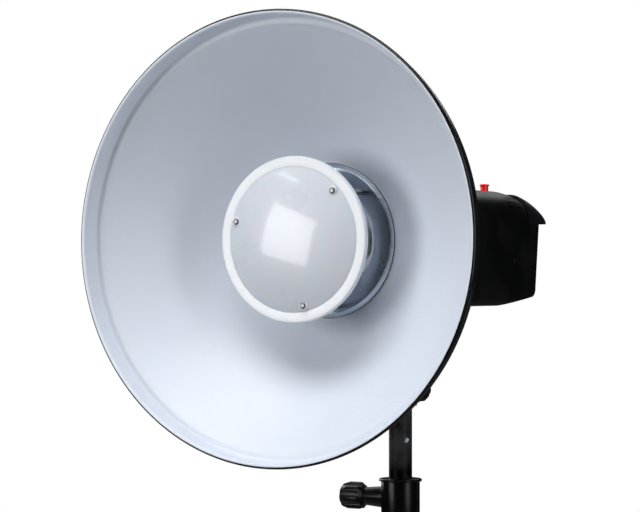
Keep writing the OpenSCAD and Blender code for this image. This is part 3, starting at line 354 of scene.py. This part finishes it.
# The outer band of faces takes the near-black material: painted shade of the gap to the bowl.
for face in plate.data.polygons:
    c = face.center
    face.material_index = 1 if math.hypot(c.x, c.z - light_z) > plate_r - shade_band_w else 0
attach(plate, "dish")
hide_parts("base_plate")

# The three posts are turned from bar and chrome plated, with a groove under the
# deflector and a small foot on the plate; their studs pass through to nuts.

chrome = finish("bright_chrome", (0.62, 0.64, 0.67), 0.10, grain_mm=4.0, relief_mm=0.001, mottle=0.1, metallic=1.0)
post_angles = (45.6, 164.0, -78.4)
post_circle_r = 0.0625
post_r = 0.003
post_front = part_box("deflector_plate")[1].y
post_back = plate_lo.y
posts_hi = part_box("deflector_posts")[1]


def joined(name, pieces):
    """Joins pieces into one and names it."""
    bpy.ops.object.select_all(action="DESELECT")
    for p in pieces:
        p.select_set(True)
    bpy.context.view_layer.objects.active = pieces[0]
    if len(pieces) > 1:
        bpy.ops.object.join()
    pieces[0].name = pieces[0].data.name = name
    return pieces[0]


def around(angles, radius):
    """Places on a circle about the light axis, at angles seen from the front."""
    return [(radius * math.cos(math.radians(a)), light_z + radius * math.sin(math.radians(a))) for a in angles]


post_foot = 0.0008
posts = []
for spot in around(post_angles, post_circle_r):
    posts.append(spun("post", [
        (0, post_front), (post_r - 0.0004, post_front), (post_r, post_front + 0.0004), (post_r, post_front + 0.003),
        (post_r - 0.0005, post_front + 0.0035), (post_r - 0.0005, post_front + 0.0045),
        (post_r, post_front + 0.005), (post_r, post_back - post_foot), (post_r - post_foot, post_back - 0.0001),
        (0.0015, post_back - 0.0001), (0.0015, posts_hi.y), (0, posts_hi.y),
    ], centre=spot, steps=32))
    bpy.ops.object.select_all(action="DESELECT")
    bpy.ops.mesh.primitive_cylinder_add(vertices=6, radius=post_r * 1.24, depth=0.003, rotation=(math.pi / 2, 0, 0),
                                        location=(spot[0], posts_hi.y - 0.0019, spot[1]))
    nut = bpy.context.object
    bpy.ops.object.mode_set(mode="EDIT")
    bpy.ops.mesh.bevel(offset=0.0003, segments=2)
    bpy.ops.object.mode_set(mode="OBJECT")
    settle(nut)
    posts.append(nut)
post_set = joined("deflector_post_set", posts)
post_set.data.materials.append(chrome)
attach(post_set, "dish")
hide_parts("deflector_posts")

# ---------------------------------------------------------------------------
# The deflector: a gloss white ring with its edge turned back, an opal dome
# behind it, and a spun aluminium plate at the back, held by three cross-head
# screws on white washers.

ring_white = finish("ring_gloss_white", (0.78, 0.81, 0.86), 0.30, grain_mm=2.5, relief_mm=0.01, mottle=0.02,
                    coat_weight=0.3, coat_roughness=0.1)
opal = finish("opal_moulding", (0.74, 0.77, 0.84), 0.30, grain_mm=3.5, relief_mm=0.004, mottle=0.012,
              coat_weight=0.65, coat_roughness=0.075, subsurface_weight=0.25, subsurface_scale=0.004)
ring_lo, ring_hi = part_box("deflector_ring")
dome_lo, dome_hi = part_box("deflector_dome")
ring_r = (ring_hi.x - ring_lo.x) / 2
dome_r = (dome_hi.x - dome_lo.x) / 2
ring_y = ring_lo.y
ring = spun("deflector_ring_pressing", [
    (dome_r, 0.0008), *arc((dome_r + 0.0004, 0.0004), 0.0004, 180, 270, 3),
    *arc((ring_r - 0.0014, 0.0014), 0.0014, -90, 0, 6), (ring_r, 0.004), (ring_r - 0.0007, 0.004),
    (ring_r - 0.001, 0.0015), (dome_r, 0.0015),
], y=ring_y, steps=160)
ring.data.materials.append(ring_white)
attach(ring, "dish")
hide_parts("deflector_ring")

dome_rise = ring_y - dome_lo.y
dome_wall = 0.002
dome_ball_r = (dome_r**2 + dome_rise**2) / (2 * dome_rise)
half_dome = math.degrees(math.asin(dome_r / dome_ball_r))
dome_centre = (0, dome_ball_r - dome_rise)
dome = spun("deflector_dome_moulding", [
    *arc(dome_centre, dome_ball_r, -90, -90 + half_dome, 28), (dome_r, 0.0014),
    *arc(dome_centre, dome_ball_r - dome_wall, -90 + half_dome, -90, 14),
], y=ring_y, steps=128, smooth=40)
dome.data.materials.append(opal)
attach(dome, "dish")
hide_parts("deflector_dome")

zinc = finish("zinc_plated_steel", (0.60, 0.61, 0.63), 0.30, grain_mm=1.2, relief_mm=0.004, mottle=0.3, metallic=1.0)
screw_steel = finish("screw_steel", (0.20, 0.205, 0.215), 0.22, grain_mm=0.6, relief_mm=0.004, mottle=0.3, metallic=1.0)
washer_white = finish("white_washer", (0.86, 0.87, 0.88), 0.4, grain_mm=0.8, relief_mm=0.01, mottle=0.05)
screw_head_r, screw_head_h = 0.0031, 0.0018
washer_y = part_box("deflector_screws")[0].y + screw_head_h


def pan_screw(name, spot, seat_y, head_r, head_h, steps=32):
    """A cross-recess pan head towards -Y, with a short shank behind its seat."""
    head = spun(name, [
        (0, -head_h), (head_r * 0.45, -head_h), *arc((head_r * 0.55, -head_h * 0.52), head_h * 0.48, -90, 0, 5)[1:],
        (head_r * 0.98, -head_h * 0.2), (head_r, 0), (head_r * 0.5, 0), (head_r * 0.5, 0.003), (0, 0.003),
    ], y=seat_y, centre=spot, steps=steps)
    cutters = []
    for tilt in (0.35, 0.35 + math.pi / 2):
        bpy.ops.object.select_all(action="DESELECT")
        bpy.ops.mesh.primitive_cube_add(size=1, location=(spot[0], seat_y - head_h, spot[1]), rotation=(0, tilt, 0),
                                        scale=(head_r * 1.15, head_h * 1.1, head_r * 0.24))
        cutters.append(bpy.context.object)
    for cutter in cutters:
        alone(head)
        cut = head.modifiers.new("recess", "BOOLEAN")
        cut.object = cutter
        cut.operation = "DIFFERENCE"
        cut.solver = "EXACT"
        bpy.ops.object.modifier_apply(modifier=cut.name)
        bpy.data.objects.remove(cutter)
    return head


screws = joined("deflector_screw_set", [
    pan_screw("deflector_screw", spot, washer_y, screw_head_r, screw_head_h)
    for spot in around(post_angles, post_circle_r)
])
screws.data.materials.clear()
screws.data.materials.append(screw_steel)
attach(screws, "dish")
washers = joined("deflector_washers", [
    spun("washer", [(0.0016, 0), (0.0038, 0), *arc((0.0038, 0.0006), 0.0006, -90, 0, 3), (0.0044, 0.0011),
                    (0.0016, 0.0011)], y=washer_y, centre=spot, steps=40)
    for spot in around(post_angles, post_circle_r)
])
washers.data.materials.append(washer_white)
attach(washers, "dish")
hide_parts("deflector_screws")

# The plate behind the dome is a disc of spun aluminium that throws the light
# back into the bowl; its spinning marks show from behind.

# Turned marks: fine rings about the light axis, as spinning or turning leaves
rings_tree, rings_in, rings_out = node_group(
    "turned_marks", [("Vector", None), ("Rings Per Metre", 1500.0), ("Light Axis", 0.29)],
    [("Height", "NodeSocketFloat"), ("Shift", "NodeSocketFloat")])
rf = rings_in.outputs
parts_xyz = node(rings_tree, "ShaderNodeSeparateXYZ", {0: rf["Vector"]})
up = node(rings_tree, "ShaderNodeMath", {0: parts_xyz.outputs["Z"], 1: rf["Light Axis"]}, operation="SUBTRACT")
flat = node(rings_tree, "ShaderNodeCombineXYZ", {"X": parts_xyz.outputs["X"], "Y": 0.0, "Z": up.outputs[0]})
reach = node(rings_tree, "ShaderNodeVectorMath", {0: flat.outputs[0]}, operation="LENGTH")
rate = node(rings_tree, "ShaderNodeMath", {0: reach.outputs["Value"], 1: rf["Rings Per Metre"]},
            operation="MULTIPLY")
marks = node(rings_tree, "ShaderNodeTexNoise", {"W": rate.outputs[0], "Scale": 1.0, "Detail": 3.0},
             noise_dimensions="1D")
mark_value = marks.outputs[0]
mark_shift = node(rings_tree, "ShaderNodeMath", {0: mark_value, 1: 0.5}, operation="SUBTRACT")
rings_tree.links.new(mark_value, rings_out.inputs["Height"])
rings_tree.links.new(mark_shift.outputs[0], rings_out.inputs["Shift"])


def turned(name, colour, roughness, rings_per_m=1500, depth_mm=0.01, **shader_values):
    """A turned or spun metal: the handled surface with rings about the light axis in place of its grain."""
    made = finish(name, colour, roughness, metallic=1.0, mottle=0.15, **shader_values)
    tree = made.node_tree
    place = next(n for n in tree.nodes if n.type == "TEX_COORD")
    bump = next(n for n in tree.nodes if n.type == "BUMP")
    rough = next(n for n in tree.nodes if n.type == "MATH")
    look = node(tree, "ShaderNodeGroup", node_tree=rings_tree)
    tree.links.new(place.outputs["Object"], look.inputs["Vector"])
    look.inputs["Rings Per Metre"].default_value = rings_per_m
    look.inputs["Light Axis"].default_value = light_z
    tree.links.new(look.outputs["Height"], bump.inputs["Height"])
    tree.links.new(look.outputs["Shift"], rough.inputs[0])
    bump.inputs["Distance"].default_value = depth_mm / 1000
    return made


def dress(material, *names):
    """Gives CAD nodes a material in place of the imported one."""
    for label in names:
        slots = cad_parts[label].data.materials
        for i in range(len(slots)):
            slots[i] = material


dress(turned("spun_aluminium_disc", (0.58, 0.60, 0.63), 0.32), "deflector_plate")

# ---------------------------------------------------------------------------
# The bayonet flange: pressed and turned steel, blacked, with three lugs that
# lock in the head's ring, and the rivets that hold bowl and plate to it.

dress(turned("blacked_steel", (0.07, 0.072, 0.078), 0.38, rings_per_m=900), "mount_flange")
dress(zinc, "flange_rivets")

# ---------------------------------------------------------------------------
# The flash ring tube and the modelling lamp stand in a chrome cup on a white
# ceramic base. The ring is a clear quartz tube with a milky coat, fed through
# two legs; the lamp is frosted, with its cap in a ceramic holder.

dress(turned("polished_cup", (0.78, 0.79, 0.81), 0.12, rings_per_m=700, depth_mm=0.003), "reflector_cup")
dress(finish("white_ceramic", (0.80, 0.78, 0.73), 0.5, grain_mm=0.5, relief_mm=0.02, mottle=0.12,
             coat_weight=0.25, coat_roughness=0.3), "tube_base", "lamp_socket")


def glass(name, colour, roughness, milk):
    """Glass with a faint milky layer, kept at a plain metallic and transmission value."""
    return finish(name, colour, roughness, grain_mm=4.0, relief_mm=0.004, mottle=0.05, ior=1.46,
                  transmission_weight=1.0 - milk, specular_ior_level=0.5)


dress(glass("quartz_tube", (0.93, 0.94, 0.95), 0.12, 0.35), "flash_tube")
dress(glass("frosted_lamp", (0.92, 0.92, 0.90), 0.42, 0.6), "modelling_lamp")

# ---------------------------------------------------------------------------
# The head's bayonet ring is die-cast, machined on its face and left bright; it
# sits in the front bezel under four screws. A white plastic pin locks the dish.

dress(turned("cast_bayonet_ring", (0.42, 0.43, 0.45), 0.34, rings_per_m=1100), "front_ring")
black_screw = finish("black_zinc", (0.035, 0.035, 0.038), 0.36, grain_mm=0.5, relief_mm=0.01, mottle=0.3,
                     wear=0.8, worn_colour=(0.4, 0.4, 0.42), metallic=0.7)
dress(black_screw, "head_screws", "umbrella_screw")
soft_black = finish("glass_filled_nylon", (0.003, 0.003, 0.0035), 0.27, grain_mm=0.7, relief_mm=0.01, mottle=0.25,
                    wear=0.35, worn_colour=(0.06, 0.06, 0.065), dust=0.01, specular_ior_level=0.18)
dress(soft_black, "lock_slider")

# ---------------------------------------------------------------------------
# The case: two black ABS halves split along the side, a front bezel and a rear
# panel between them, vent slots in the top, and side screws in bosses. The
# mouldings have a fine even spark grain and a slight sheen.

case_black = finish("spark_grain_abs", (0.003, 0.003, 0.0033), 0.40, grain_mm=0.9, relief_mm=0.022, mottle=0.2,
                    wear=0.25, worn_colour=(0.03, 0.03, 0.033), dust=0.006, specular_ior_level=0.14)
panel_black = finish("satin_panel_abs", (0.008, 0.008, 0.009), 0.30, grain_mm=0.6, relief_mm=0.012, mottle=0.15,
                     wear=0.2, worn_colour=(0.06, 0.06, 0.065), dust=0.02, specular_ior_level=0.35)


def softened(label, name, body, material, width_mm, angle=32, segments=3):
    """A copy of a CAD moulding with the small edge radius that every moulding has."""
    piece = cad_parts[label].copy()
    piece.data = piece.data.copy()
    piece.name = piece.data.name = name
    bpy.context.scene.collection.objects.link(piece)
    piece.parent = None
    alone(piece)
    bpy.ops.object.mode_set(mode="EDIT")
    bpy.ops.mesh.select_all(action="SELECT")
    bpy.ops.mesh.remove_doubles(threshold=2e-6)
    bpy.ops.mesh.select_all(action="SELECT")
    bpy.ops.mesh.dissolve_limited(angle_limit=math.radians(0.4))
    bpy.ops.object.mode_set(mode="OBJECT")
    edge = piece.modifiers.new("moulded_edge", "BEVEL")
    edge.width = width_mm / 1000
    edge.segments = segments
    edge.limit_method = "ANGLE"
    edge.angle_limit = math.radians(angle)
    edge.use_clamp_overlap = True
    bpy.ops.object.modifier_apply(modifier=edge.name)
    bpy.ops.object.shade_smooth_by_angle(angle=math.radians(28))
    piece.data.materials.clear()
    piece.data.materials.append(material)
    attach(piece, body)
    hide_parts(label)
    return piece


for label in ("lower_case", "top_cover", "front_bezel"):
    dress(case_black, label)
dress(panel_black, "rear_panel")
handle = softened("carry_handle", "moulded_carry_handle", "head", panel_black, 3.0, segments=5)

# The handle ends in a thick rounded lip, so a rounded block trims its tip
handle_lo, handle_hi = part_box("carry_handle")
lip_trim, lip_r = 0.0028, 0.0045
room = 0.02
bpy.ops.object.select_all(action="DESELECT")
bpy.ops.mesh.primitive_cube_add(size=1)
lip_block = bpy.context.object
lip_block.scale = (handle_hi.x - handle_lo.x + 2 * room, handle_hi.y - handle_lo.y + room - lip_trim,
                   handle_hi.z - handle_lo.z + room)
lip_block.location = ((handle_lo.x + handle_hi.x) / 2, (handle_lo.y - room + handle_hi.y - lip_trim) / 2,
                      (handle_lo.z + handle_hi.z + room) / 2)
settle(lip_block)
rounding = lip_block.modifiers.new("rounding", "BEVEL")
rounding.width, rounding.segments = lip_r, 6
alone(lip_block)
bpy.ops.object.modifier_apply(modifier=rounding.name)
alone(handle)
trim = handle.modifiers.new("lip", "BOOLEAN")
trim.operation, trim.solver, trim.object = "INTERSECT", "EXACT", lip_block
bpy.ops.object.modifier_apply(modifier=trim.name)
bpy.data.objects.remove(lip_block)
bpy.ops.object.shade_smooth_by_angle(angle=math.radians(28))

# The slave sensor is a clear red lens cap over a photo cell, with a rolled lip.
# The lens's faint red emission is a painted glow; the cap gives no light of its own.
dress(finish("red_lens", (0.92, 0.004, 0.008), 0.2, grain_mm=2.0, relief_mm=0.004, mottle=0.12, coat_weight=0.5,
             coat_roughness=0.05, specular_ior_level=0.25, emission_color=(1.0, 0.01, 0.01),
             emission_strength=0.1), "slave_sensor")

# ---------------------------------------------------------------------------
# Inside the case: two flash capacitors in black sleeves, the main and the
# control board, the trigger coil, the choke, and the cooling fan.

dress(finish("capacitor_sleeve", (0.02, 0.022, 0.03), 0.28, grain_mm=3.0, relief_mm=0.01, mottle=0.2,
             coat_weight=0.4, coat_roughness=0.15), "capacitors")
dress(finish("green_circuit_board", (0.02, 0.16, 0.06), 0.38, grain_mm=1.6, relief_mm=0.03, mottle=0.6,
             coat_weight=0.4, coat_roughness=0.2), "main_board", "control_board")
dress(finish("coil_resin", (0.05, 0.045, 0.04), 0.35, grain_mm=1.4, relief_mm=0.03, mottle=0.35), "trigger_coil")
dress(finish("enamelled_copper", (0.48, 0.16, 0.06), 0.3, grain_mm=0.5, relief_mm=0.08, mottle=0.3, metallic=1.0),
      "power_choke")
dress(panel_black, "fan_frame", "fan_rotor")

# ---------------------------------------------------------------------------
# The controls on the rear panel: a red display behind smoked glass, two dials
# with printed scales of numbers, three keys, and in the low row the sync socket,
# the rocker switch, the fuse and the mains inlet. The print is white ink.

ink = finish("white_ink", (0.75, 0.76, 0.77), 0.5, grain_mm=0.3, relief_mm=0.004, mottle=0.1)
glow = finish("lit_digit", (0.65, 0.02, 0.01), 0.4, grain_mm=0.6, relief_mm=0.002, mottle=0.05,
              emission_color=(1.0, 0.05, 0.02), emission_strength=1.6)
smoked = finish("smoked_window", (0.018, 0.003, 0.004), 0.08, grain_mm=5.0, relief_mm=0.001, mottle=0.1,
                coat_weight=0.6, coat_roughness=0.04)
dress(smoked, "display_window")
dress(soft_black, "power_dial", "lamp_dial", "fuse_cap")
dress(finish("grey_key", (0.42, 0.43, 0.45), 0.42, grain_mm=0.7, relief_mm=0.02, mottle=0.12, wear=0.3,
             worn_colour=(0.6, 0.6, 0.62)), "test_button", "sensor_button", "beep_button")
dress(finish("red_rocker", (0.50, 0.010, 0.012), 0.24, grain_mm=1.0, relief_mm=0.006, mottle=0.15,
             coat_weight=0.5, coat_roughness=0.1), "mains_rocker")
dress(panel_black, "sync_socket", "mains_inlet")

panel_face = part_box("rear_panel")[1].y
ink_t = 0.00012


def bar(name, x, z, length, width, turn=0.0, y=panel_face, thick=ink_t):
    """A flat printed bar on a face towards +Y; turn is in degrees, anticlockwise from behind."""
    bpy.ops.object.select_all(action="DESELECT")
    bpy.ops.mesh.primitive_cube_add(size=1, location=(x, y + thick / 2, z), scale=(length, thick, width),
                                    rotation=(0, math.radians(turn), 0))
    piece = bpy.context.object
    settle(piece)
    return piece


def figure(text, x, z, height, y=panel_face):
    """A printed number on the panel, read from behind, centred on its place."""
    bpy.ops.object.select_all(action="DESELECT")
    bpy.ops.object.text_add(location=(x, y, z), rotation=(math.pi / 2, 0, math.pi))
    piece = bpy.context.object
    piece.data.body = text
    piece.data.size = height
    piece.data.extrude = ink_t / 2
    piece.data.resolution_u = 3
    piece.data.align_x = "CENTER"
    piece.data.align_y = "CENTER"
    bpy.ops.object.convert(target="MESH")
    settle(bpy.context.object)
    return bpy.context.object


def printed(name, pieces, body="head", material=None):
    sheet_of_ink = joined(name, pieces)
    sheet_of_ink.data.materials.clear()
    sheet_of_ink.data.materials.append(material or ink)
    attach(sheet_of_ink, body)
    return sheet_of_ink


for label, scale in (("power_dial", ("1", "2", "3", "4", "5", "6")), ("lamp_dial", ("0", "2", "4", "6", "8", "10"))):
    lo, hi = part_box(label)
    cx, cz = (lo.x + hi.x) / 2, (lo.z + hi.z) / 2
    marks_on_panel = []
    for i in range(21):
        a = math.radians(-130 + 13 * i)
        long_mark = i % 4 == 0
        r = 0.01305 if long_mark else 0.0127
        marks_on_panel.append(bar("tick", cx - r * math.sin(a), cz + r * math.cos(a),
                                  0.00035, 0.0018 if long_mark else 0.0010, -math.degrees(a)))
    for i, number in enumerate(scale):
        a = math.radians(-130 + 52 * i)
        marks_on_panel.append(figure(number, cx - 0.0164 * math.sin(a), cz + 0.0164 * math.cos(a), 0.0036))
    printed(label + "_scale", marks_on_panel)

# The dials' pointer lines are filled with white paint in their grooves
for label, body in (("power_dial", "power_knob"), ("lamp_dial", "lamp_knob")):
    lo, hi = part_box(label)
    cx, cz = (lo.x + hi.x) / 2, (lo.z + hi.z) / 2
    printed(label + "_pointer", [bar("pointer", cx, cz + 0.00475, 0.0012, 0.0062, y=hi.y - 0.00058,
                                     thick=0.0003)], body)

# Digits of the display, seven bars each, showing a power setting
window_lo, window_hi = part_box("display_window")
digit_y = window_hi.y
digit_h, digit_w, stroke = 0.0118, 0.0064, 0.00125
window_z = (window_lo.z + window_hi.z) / 2
segments_of = {"5": "afgcd", "0": "abcdef"}
places = {"a": (0, 1, 0), "g": (0, 0, 0), "d": (0, -1, 0), "f": (-1, 0.5, 1), "b": (1, 0.5, 1),
          "e": (-1, -0.5, 1), "c": (1, -0.5, 1)}
digit_bars = []
for digit, x in (("5", 0.0062), ("0", -0.0062)):
    for segment in segments_of[digit]:
        sx, sz, upright = places[segment]
        px = x - sx * digit_w / 2
        pz = window_z + sz * digit_h / 2
        size = (stroke, digit_h / 2 - stroke * 0.9) if upright else (digit_w - stroke * 0.9, stroke)
        digit_bars.append(bar("segment", px, pz, size[0], size[1], y=digit_y, thick=0.00008))
digit_bars.append(bar("point", 0.0, window_z - digit_h / 2, stroke * 1.1, stroke * 1.1, y=digit_y, thick=0.00008))
printed("display_digits", digit_bars, material=glow)

# A thin frame is printed round the window
frame_up, frame_out, frame_line = 0.0106, 0.028, 0.0004
window_frame = [
    bar("window_edge", 0, window_z + frame_up, 2 * frame_out, frame_line),
    bar("window_edge", 0, window_z - frame_up, 2 * frame_out, frame_line),
    bar("window_edge", frame_out, window_z, frame_line, 2 * frame_up + frame_line),
    bar("window_edge", -frame_out, window_z, frame_line, 2 * frame_up + frame_line)]
printed("window_outline", window_frame)

# ---------------------------------------------------------------------------
# The tilt bracket: a die-cast fork, painted black, on a shoe screwed under the
# case. A lever tightens the friction discs on the tilt bolt.

cast_black = finish("painted_die_casting", (0.006, 0.006, 0.0065), 0.42, grain_mm=1.1, relief_mm=0.05, mottle=0.25,
                    wear=0.5, worn_colour=(0.16, 0.16, 0.17), dust=0.02, specular_ior_level=0.32)
dress(cast_black, "head_shoe")
softened("tilt_bracket", "cast_tilt_bracket", "bracket", cast_black, 0.8)
dress(zinc, "shoe_screws", "tilt_bolt", "tilt_nut", "collar_screw", "socket_screw", "collar_rivet", "riser_rivet")
dress(finish("pressed_fibre", (0.16, 0.10, 0.06), 0.75, grain_mm=0.6, relief_mm=0.05, mottle=0.6), "tilt_discs")
softened("tilt_lever", "moulded_tilt_lever", "tilt_clamp", soft_black, 0.9)
softened("socket_knob", "moulded_socket_knob", "socket_clamp", soft_black, 0.7)

# ---------------------------------------------------------------------------
# The stand: a turned steel stud in the riser tube of black anodised aluminium,
# and the moulded clamp collar with its bush, rivet and knob.

dress(turned("turned_stud", (0.50, 0.51, 0.53), 0.28, rings_per_m=600), "stand_stud")
dress(finish("black_anodised_tube", (0.003, 0.003, 0.0033), 0.34, grain_mm=0.35, relief_mm=0.006, mottle=0.25,
             wear=0.3, worn_colour=(0.2, 0.2, 0.21), dust=0.004, specular_ior_level=0.05), "riser_tube")
dress(soft_black, "riser_end_plug")
softened("stand_collar", "moulded_stand_collar", "collar", soft_black, 0.7)
softened("collar_boss", "moulded_collar_boss", "collar", soft_black, 0.6)
softened("collar_bush", "moulded_collar_bush", "collar", soft_black, 0.5)
softened("collar_knob", "moulded_collar_knob", "collar_clamp", soft_black, 0.7)
